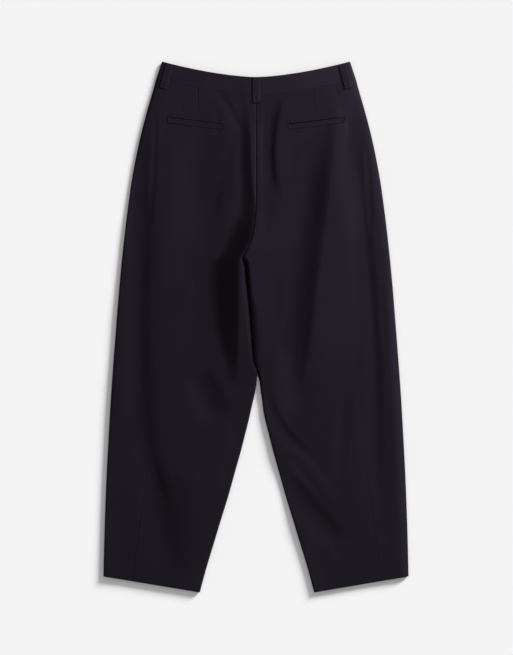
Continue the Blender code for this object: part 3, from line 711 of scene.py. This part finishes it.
band = {
    "wall": 0.0020,
    "proud": 0.0003,
    "columns": 150,
    "rows": 14,
    "rollSteps": 8,
    "edgeRadius": 0.00018,
    "waves": (9, 0.030, 0.090, 0.00030),
    "topPucker": (0.00006, 0.004),
    "seamPucker": (0.00008, 0.006),
    "crown": 0.0003,  # stiffened, so a little crowned
    "paintedShadingAmount": (-0.04, -0.24),  # painted highlight everywhere, and more of it towards the right
    "paintedHighlightFrom": -0.04,
    "paintedHighlightOver": 0.22,
}


def waistband(name, node, start, end, lower, facing):
    columns = int(band["columns"] * (end - start) / 2)
    roll = garment["sideRoll"][left] / garment["waistHalf"]
    turn = np.linspace(0, 1, band["rollSteps"] + 1)
    ends = 1 - roll * (1 - np.sin(turn * fullTilt))  # from the flat to the folded end
    flatStart = -ends[0] if start < -0.5 else start
    flatEnd = ends[0] if end > 0.5 else end
    across = np.linspace(flatStart, flatEnd, columns)
    tilt = np.zeros(columns)
    if end > 0.5:
        across, tilt = np.append(across, ends[1:]), np.append(tilt, turn[1:] * fullTilt)
    if start < -0.5:
        across = np.append(-ends[:0:-1], across)
        tilt = np.append(turn[:0:-1] * fullTilt, tilt)
    share = np.linspace(0, 1, band["rows"] + 1)[:, None]
    point = mix(bandTop(across, lower)[None], bandSeam(across, lower)[None], share[..., None])
    top = garment["layerTop"] + band["proud"] if facing > 0 else 0.0
    level = np.full(point.shape[:2], top)
    if facing > 0:
        fromTop, fromSeam = share * garment["bandHeight"], (1 - share) * garment["bandHeight"]
        level = level + clothWaves(point, 61, *band["waves"])
        level = level + pucker(fromTop, point[..., 0], 63, *band["topPucker"])
        level = level + pucker(fromSeam, point[..., 0], 67, *band["seamPucker"])
        level = level + band["crown"] * np.sin(np.pi * share)
    height = (level - garment["midHeight"]) * facing - garment["seamGap"] / 2
    z = level - facing * height * (1 - np.cos(tilt))[None]
    places = np.concatenate((point, z[..., None]), -1)
    # painted highlight over the whole band, stronger towards the right
    toRight = ease((point[..., 0] - band["paintedHighlightFrom"]) / band["paintedHighlightOver"])
    paintedShadingAmount = band["paintedShadingAmount"][1] * toRight + band["paintedShadingAmount"][0]
    cut = point[..., ::-1]
    piece = clothPiece(name, places, cut, facing, band["wall"], band["edgeRadius"], paintedShadingAmount)
    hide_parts(node)
    return piece


# Small pieces that lie on the back

# Highest point of the carriers near a place seen from above
def topFinder(carriers, reach=0.0015):
    graph = bpy.context.evaluated_depsgraph_get()
    trees = [BVHTree.FromObject(carrier, graph) for carrier in carriers]

    def top(x, y):
        highest = 0.0
        for dx, dy in ((0, 0), (reach, 0), (-reach, 0), (0, reach), (0, -reach)):
            for tree in trees:
                hit = tree.ray_cast(Vector((x + dx, y + dy, 0.1)), Vector((0, 0, -1)))[0]
                highest = max(highest, hit.z if hit else 0.0)
        return highest

    return top


# A strip of folded cloth: a grid along a line, given its thickness and rounded all round
def strip(name, start, end, width, thickness, rounding, rows, columns, height):
    line = end - start
    sideways = Vector((-line.y, line.x, 0)).normalized() * width
    bm = bmesh.new()
    bmesh.ops.create_grid(bm, x_segments=columns, y_segments=rows, size=0.5)
    for vert in bm.verts:
        across, along = vert.co.x, 0.5 - vert.co.y
        place = start + line * along + sideways * across
        vert.co = (place.x, place.y, height(place, across, along))
    walls = bmesh.ops.extrude_face_region(bm, geom=bm.faces[:])
    for vert in walls["geom"]:
        if isinstance(vert, bmesh.types.BMVert):
            vert.co.z -= thickness((vert.co - start).dot(line) / line.length_squared)
    bmesh.ops.recalc_face_normals(bm, faces=bm.faces)
    sharp = math.radians(50)
    corners = [e for e in bm.edges if len(e.link_faces) == 2 and e.calc_face_angle() > sharp]
    bmesh.ops.bevel(
        bm, geom=corners, offset=rounding, segments=3, profile=0.5, affect="EDGES", material=-1
    )
    cut = bm.loops.layers.uv.new("cut")
    lineWay, sideWay = line.normalized(), sideways.normalized()
    for face in bm.faces:
        for loop in face.loops:
            rest = loop.vert.co - start
            loop[cut].uv = (rest.dot(sideWay), rest.dot(lineWay))
    return newPiece(name, bm)


loop = {
    "width": 0.015,
    "length": 0.050,
    "thickness": 0.0011,
    "endThickness": 0.0008,
    "endReach": 0.007,
    "slack": 0.0001,
    "slackPower": 0.8,
    "inset": 0.002,
    "at": 0.917,
    "centreX": 0.001,
    "rounding": 0.0006,
    "rows": 30,
    "columns": 12,
    "crown": 0.0002,
    "tackAt": 0.0030,
    "tackHalf": 0.38,  # share of the width
    "stitchInset": 0.0018,
    "stitchLength": 0.0022,
    "stitchGap": 0.0010,
    "stitchRadius": 0.00022,
    "stitchRise": 0.3,  # shares of its radius
    "stitchWidth": 1.2,
}


def beltLoop(name, node, start, towards, top):
    end = start + (towards - start).normalized() * loop["length"]

    def height(place, across, along):
        arc = math.sin(math.pi * min(max(along, 0), 1))
        lift = loop["slack"] * arc ** loop["slackPower"]
        crown = loop["crown"] * (1 - (2 * across) ** 2)
        return top(place.x, place.y) + garment["seamGap"] / 2 + thickness(along) + lift + crown

    def thickness(along):
        fromEnd = min(along, 1 - along) * loop["length"]
        share = float(ease(fromEnd / loop["endReach"]))
        return mix(loop["endThickness"], loop["thickness"], share)

    piece = strip(
        name, start, end, loop["width"], thickness, loop["rounding"], loop["rows"],
        loop["columns"], height,
    )
    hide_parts(node)
    way = (end - start).normalized()
    sideways = Vector((-way.y, way.x, 0))
    rows = []
    for sign in (-1, 1):
        inset = sideways * sign * (loop["width"] / 2 - loop["stitchInset"])
        along = way * loop["stitchInset"]
        rows.append((start + inset + along, end + inset - along))
    half = sideways * loop["width"] * loop["tackHalf"]
    for near in (start + way * loop["tackAt"], end - way * loop["tackAt"]):
        rows.append((near - half, near + half))
    return piece, rows


def pocketWelt(side, top):
    start = Vector((side * welt["outerEnd"][0], welt["outerEnd"][1], 0))
    line = Vector((side * welt["innerEnd"][0], welt["innerEnd"][1], 0)) - start
    end = start + line.normalized() * welt["length"]

    def height(place, across, along):
        return top(place.x, place.y) + garment["seamGap"] / 2 + welt["thickness"]

    name = "weltLeft" if side == left else "weltRight"
    piece = strip(
        name, start, end, welt["width"], lambda along: welt["thickness"], welt["rounding"],
        welt["rows"], welt["columns"], height,
    )
    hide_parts("pocket_welt_left" if side == left else "pocket_welt_right")
    return piece


# Rows of short rounded stitches that lie on the loops
def stitchRows(name, rows, top):
    length, radius = loop["stitchLength"], loop["stitchRadius"]
    bm = bmesh.new()
    for start, end in rows:
        line = end - start
        count = max(1, round(line.length / (length + loop["stitchGap"])))
        for k in range(count):
            middle = start + line * (k + 0.5) / count
            middle.z = top(middle.x, middle.y) + radius * loop["stitchRise"]
            turn = line.to_track_quat("X", "Z").to_matrix().to_4x4()
            size = Matrix.Diagonal((length / 2, radius * loop["stitchWidth"], radius, 1))
            place = Matrix.Translation(middle) @ turn @ size
            bmesh.ops.create_icosphere(bm, subdivisions=2, radius=1, matrix=place)
    return newPiece(name, bm)


backLeft, backRight = backPanel(left), backPanel(right)
print("back panels done")
frontLeft, frontRight = frontPanel(left), frontPanel(right)
halfGap = garment["seamGap"] / 2 / garment["waistHalf"]
bandBack = waistband("bandBack", "waistband_back", -1, 1, 0.0, 1)
dip = garment["frontDip"]
bandFrontLeft = waistband("bandFrontLeft", "waistband_front_left", -1, -halfGap, dip, -1)
bandFrontRight = waistband("bandFrontRight", "waistband_front_right", halfGap, 1, dip, -1)
print("front and waistband done")

carrierTop = topFinder((backLeft, backRight, bandBack))
inset = Vector((0, -loop["inset"], 0))
centreTop = Vector((loop["centreX"], bandTop(np.array(0.0))[1], 0)) + inset
loopCentre, centreRows = beltLoop(
    "loopCentre", "belt_loop_centre", centreTop, centreTop + inset, carrierTop
)
sideLoops = []
for side, name, node in (
    (left, "loopLeft", "belt_loop_left"), (right, "loopRight", "belt_loop_right"),
):
    across = np.array(side * loop["at"])
    upper = Vector((*bandTop(across), 0)) + inset
    lower = Vector((*bandSeam(across), 0))
    sideLoops.append(beltLoop(name, node, upper, lower, carrierTop))
(loopLeft, leftRows), (loopRight, rightRows) = sideLoops
closeTop = topFinder((backLeft, backRight), 0.0003)
weltLeft, weltRight = pocketWelt(left, closeTop), pocketWelt(right, closeTop)
loopTop = topFinder((loopCentre, loopLeft, loopRight), 0.0)
loopStitches = stitchRows("loopStitches", centreRows + leftRows + rightRows, loopTop)
print("belt loops and welts done")


# Materials

def linear(hexColour):
    parts = [int(hexColour[k:k + 2], 16) / 255 for k in (1, 3, 5)]
    return tuple(p / 12.92 if p <= 0.04045 else ((p + 0.055) / 1.055) ** 2.4 for p in parts)


# Sets a node's sockets and links (node, output) pairs into its inputs
def fill(tree, node, settings=None, links=None):
    for socket, value in (settings or {}).items():
        node.inputs[socket].default_value = value
    for socket, (source, output) in (links or {}).items():
        tree.links.new(source.outputs[output], node.inputs[socket])
    return node


def addNode(tree, kind, settings=None, links=None, **properties):
    node = tree.nodes.new(kind)
    for name, value in properties.items():
        setattr(node, name, value)
    return fill(tree, node, settings, links)


# Mixes two colours, each a node's colour output or a plain colour
def mixColours(tree, factor, a, b, blend="MIX"):
    node = addNode(tree, "ShaderNodeMix", data_type="RGBA", blend_type=blend)
    for socket, value in ((0, factor), (6, a), (7, b)):
        if isinstance(value, tuple) and isinstance(value[0], bpy.types.Node):
            tree.links.new(value[0].outputs[value[1]], node.inputs[socket])
        else:
            node.inputs[socket].default_value = value if socket == 0 else (*value, 1)
    return node, 2


def mapRange(tree, source, output, low=0.0, high=1.0, newLow=0.0, newHigh=1.0):
    ranges = {"From Min": low, "From Max": high, "To Min": newLow, "To Max": newHigh}
    return addNode(tree, "ShaderNodeMapRange", ranges, {"Value": (source, output)})


def noise(tree, size, detail, roughness, place, output="Object"):
    settings = {"Scale": 1 / size, "Detail": detail, "Roughness": roughness}
    return addNode(tree, "ShaderNodeTexNoise", settings, {"Vector": (place, output)})


def newMaterial(name):
    made = bpy.data.materials.new(name)
    made.use_nodes = True
    tree = made.node_tree
    tree.nodes.clear()
    output = addNode(tree, "ShaderNodeOutputMaterial")
    shader = addNode(tree, "ShaderNodeBsdfPrincipled")
    tree.links.new(shader.outputs["BSDF"], output.inputs["Surface"])
    return made, tree, shader


suiting = {
    # painted light: the cloth is a shade lighter at the hem than at the waist, evening out the key's
    # fall-off down the garment
    "waistTone": "#18131D",
    "waistToneFrom": 0.25,  # height above the garment's middle
    "hemTone": "#1A161F",
    "warmTone": "#1D161F",
    # painted light: a lighter tone for painted highlight, then a near-black one for painted shade
    "paintedHighlightTone": "#2B2530",
    "paintedShadeTone": "#040305",
    "twillPitch": 0.0011,  # the real rib is about 0.5 mm
    "threadPitch": 0.0008,
    "fibre": 0.0007,
    "cloud": 0.060,
    "roughness": (0.78, 0.92),
    "specular": 0.06,
    "sheen": 0.06,
    "sheenTone": "#8F86A0",
}


# Worsted wool twill, finely ribbed and matt. Painted shade darkens it deep in folds and on the
# groove's flanks where the painted shading value is positive, and painted highlight lightens it
# where it is negative
def woolTwill():
    made, tree, shader = newMaterial("worstedWoolTwill")
    cut = addNode(tree, "ShaderNodeUVMap", uv_map="cut")
    place = addNode(tree, "ShaderNodeTexCoord")
    paintedShading = addNode(tree, "ShaderNodeAttribute", attribute_name="paintedShading")
    axes = addNode(tree, "ShaderNodeSeparateXYZ", links={0: (place, "Object")})
    alongLeg = mapRange(tree, axes, "Y", hemInY, suiting["waistToneFrom"])
    cloud = noise(tree, suiting["cloud"], 3.0, 0.5, place)
    fibre = noise(tree, suiting["fibre"], 2.0, 0.6, cut, "UV")
    slanted = addNode(
        tree, "ShaderNodeMapping", {"Rotation": (0, 0, math.radians(28))}, {"Vector": (cut, "UV")}
    )
    # one unit of a wave texture's scale is 20 / 2 pi bands to the metre
    twill = addNode(
        tree, "ShaderNodeTexWave",
        {"Scale": math.pi / 10 / suiting["twillPitch"], "Distortion": 0.5, "Detail": 1.0,
         "Detail Scale": 2.0},
        {"Vector": (slanted, "Vector")}, wave_type="BANDS", bands_direction="X",
    )
    thread = addNode(
        tree, "ShaderNodeTexWave",
        {"Scale": math.pi / 10 / suiting["threadPitch"], "Distortion": 0.4, "Detail": 0.0},
        {"Vector": (cut, "UV")}, wave_type="BANDS", bands_direction="Y",
    )
    # painted light: a shade lighter towards the hem
    tone = mixColours(
        tree, (alongLeg, 0), linear(suiting["hemTone"]), linear(suiting["waistTone"])
    )
    cloudy = mapRange(tree, cloud, "Fac", 0.35, 0.7, 0.0, 0.45)
    tone = mixColours(tree, (cloudy, 0), tone, linear(suiting["warmTone"]))
    flecks = mapRange(tree, fibre, "Fac", newLow=0.72, newHigh=1.28)
    ribs = mapRange(tree, twill, "Fac", newLow=0.86, newHigh=1.14)
    texture = addNode(
        tree, "ShaderNodeMath", links={0: (flecks, 0), 1: (ribs, 0)}, operation="MULTIPLY"
    )
    tone = mixColours(tree, 1.0, tone, (texture, 0), "MULTIPLY")
    # painted highlight where the painted shading value is negative, then painted shade where it is
    # positive
    paintedHighlight = mapRange(tree, paintedShading, "Fac", -1.0, 0.0, 1.0, 0.0)
    tone = mixColours(tree, (paintedHighlight, 0), tone, linear(suiting["paintedHighlightTone"]))
    deep = mixColours(tree, (paintedShading, "Fac"), tone, linear(suiting["paintedShadeTone"]))
    weave = addNode(
        tree, "ShaderNodeMath", {1: 0.6}, {0: (thread, "Fac"), 2: (twill, "Fac")},
        operation="MULTIPLY_ADD",
    )
    woolly = addNode(
        tree, "ShaderNodeMath", {1: 0.8}, {0: (fibre, "Fac"), 2: (weave, 0)},
        operation="MULTIPLY_ADD",
    )
    bump = addNode(
        tree, "ShaderNodeBump", {"Strength": 0.35, "Distance": 0.00015}, {"Height": (woolly, 0)}
    )
    least, most = suiting["roughness"]
    dull = mapRange(tree, fibre, "Fac", newLow=least, newHigh=most)
    constants = {
        "Specular IOR Level": suiting["specular"],
        "Sheen Weight": suiting["sheen"],
        "Sheen Roughness": 0.45,
        "Sheen Tint": (*linear(suiting["sheenTone"]), 1),
    }
    links = {"Base Color": deep, "Roughness": (dull, 0), "Normal": (bump, "Normal")}
    fill(tree, shader, constants, links)
    return made


# Spun polyester thread, matt with a faint lustre, a shade lighter than the cloth
def sewingThread():
    made, tree, shader = newMaterial("polyesterThread")
    place = addNode(tree, "ShaderNodeTexCoord")
    twist = noise(tree, 0.0009, 2.0, 0.5, place)
    tone = mixColours(tree, (twist, 0), linear("#201B25"), linear("#342E3A"))
    bump = addNode(
        tree, "ShaderNodeBump", {"Strength": 0.4, "Distance": 0.0001}, {"Height": (twist, 0)}
    )
    constants = {"Roughness": 0.6, "Specular IOR Level": 0.25}
    fill(tree, shader, constants, {"Base Color": tone, "Normal": (bump, "Normal")})
    return made


# Matt white studio paper, even and without gloss
def studioPaper():
    made, tree, shader = newMaterial("studioPaper")
    place = addNode(tree, "ShaderNodeTexCoord")
    pulp = noise(tree, 1 / 30, 2.0, 0.5, place)
    tone = mixColours(tree, (pulp, 0), (0.846, 0.846, 0.846), (0.854, 0.854, 0.854))
    fill(tree, shader, {"Roughness": 1.0, "Specular IOR Level": 0.0}, {"Base Color": tone})
    return made


twillCloth, thread = woolTwill(), sewingThread()
panels = {
    backLeft: (0.285, 1.030, 0.249, ["frontLeft"]),
    backRight: (0.290, 1.030, 0.256, ["frontRight"]),
    frontLeft: (0.285, 1.030, 0.248, ["studioFloor"]),
    frontRight: (0.290, 1.030, 0.255, ["studioFloor"]),
}
bands = {
    bandBack: (0.400, 0.038, 0.0149, ["bandFrontLeft", "bandFrontRight"]),
    bandFrontLeft: (0.205, 0.038, 0.0076, ["studioFloor"]),
    bandFrontRight: (0.205, 0.038, 0.0076, ["studioFloor"]),
}
smallPieces = (loopCentre, loopLeft, loopRight, weltLeft, weltRight)
for piece in (*panels, *bands, *smallPieces):
    piece.data.materials.append(twillCloth)
loopStitches.data.materials.append(thread)
for piece in (*panels, *bands, *smallPieces, loopStitches):
    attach(piece, "root")


# Floor, light and camera

studio = {
    "floorHalf": 4.0,
    "floorLevel": -0.0002,  # just under the fronts
    "keyElevation": math.radians(16),
    "keyAngle": math.radians(15),
    "keyStrength": 7.04,
    "floorAzimuth": math.radians(45),  # from the upper right of the picture
    "clothAzimuth": math.radians(38),
    "clothDistance": 2.6,
    "fill": 0.447,
    "cameraHeight": 3.0,
    "pictureMiddle": (0.001, -0.001),
    "pictureHeight": 1.310,  # seen by the camera, 2.0 mm for each of the photo's 655 rows
}


def studioFloor():
    bm = bmesh.new()
    bmesh.ops.create_grid(bm, x_segments=4, y_segments=4, size=studio["floorHalf"])
    bmesh.ops.translate(bm, verts=bm.verts[:], vec=(0, 0, studio["floorLevel"]))
    made = newPiece("studioFloor", bm)
    made.data.materials.append(studioPaper())
    return made


def towardsKey(azimuth):
    level = math.cos(studio["keyElevation"])
    return Vector((
        level * math.cos(azimuth), level * math.sin(azimuth), math.sin(studio["keyElevation"]),
    ))


# A far key lights the floor, and a nearer softbox lights the cloth and falls off across it
def lights(floor, clothPieces):
    key = bpy.data.objects.new("floorKey", bpy.data.lights.new("floorKey", "SUN"))
    key.data.energy = studio["keyStrength"]
    key.data.angle = studio["keyAngle"]
    key.rotation_euler = towardsKey(studio["floorAzimuth"]).to_track_quat("Z", "Y").to_euler()
    softbox = bpy.data.objects.new("clothKey", bpy.data.lights.new("clothKey", "AREA"))
    distance = studio["clothDistance"]
    softbox.data.shape = "DISK"
    softbox.data.size = 2 * distance * math.tan(studio["keyAngle"] / 2)
    softbox.data.energy = math.pi * distance**2 * studio["keyStrength"]
    towards = towardsKey(studio["clothAzimuth"])
    softbox.location = towards * distance
    softbox.rotation_euler = towards.to_track_quat("Z", "Y").to_euler()
    for light, lit in ((key, [floor]), (softbox, clothPieces)):
        bpy.context.scene.collection.objects.link(light)
        receivers = bpy.data.collections.new(light.name + "Receivers")
        for item in lit:
            receivers.objects.link(item)
        light.light_linking.receiver_collection = receivers
    world = bpy.data.worlds.new("softbox")
    world.use_nodes = True
    background = world.node_tree.nodes["Background"]
    fill(world.node_tree, background, {"Color": (1, 1, 1, 1), "Strength": studio["fill"]})
    bpy.context.scene.world = world


def camera():
    made = bpy.data.objects.new("camera", bpy.data.cameras.new("camera"))
    made.location = (*studio["pictureMiddle"], studio["cameraHeight"])
    made.data.sensor_fit = "VERTICAL"
    made.data.lens = made.data.sensor_height * studio["cameraHeight"] / studio["pictureHeight"]
    made.data.dof.use_dof = False
    bpy.context.scene.collection.objects.link(made)
    bpy.context.scene.camera = made


floor = studioFloor()
lights(floor, (*panels, *bands, *smallPieces, loopStitches))
camera()
bpy.context.scene.view_settings.view_transform = "Standard"
print("floor, light and camera done")
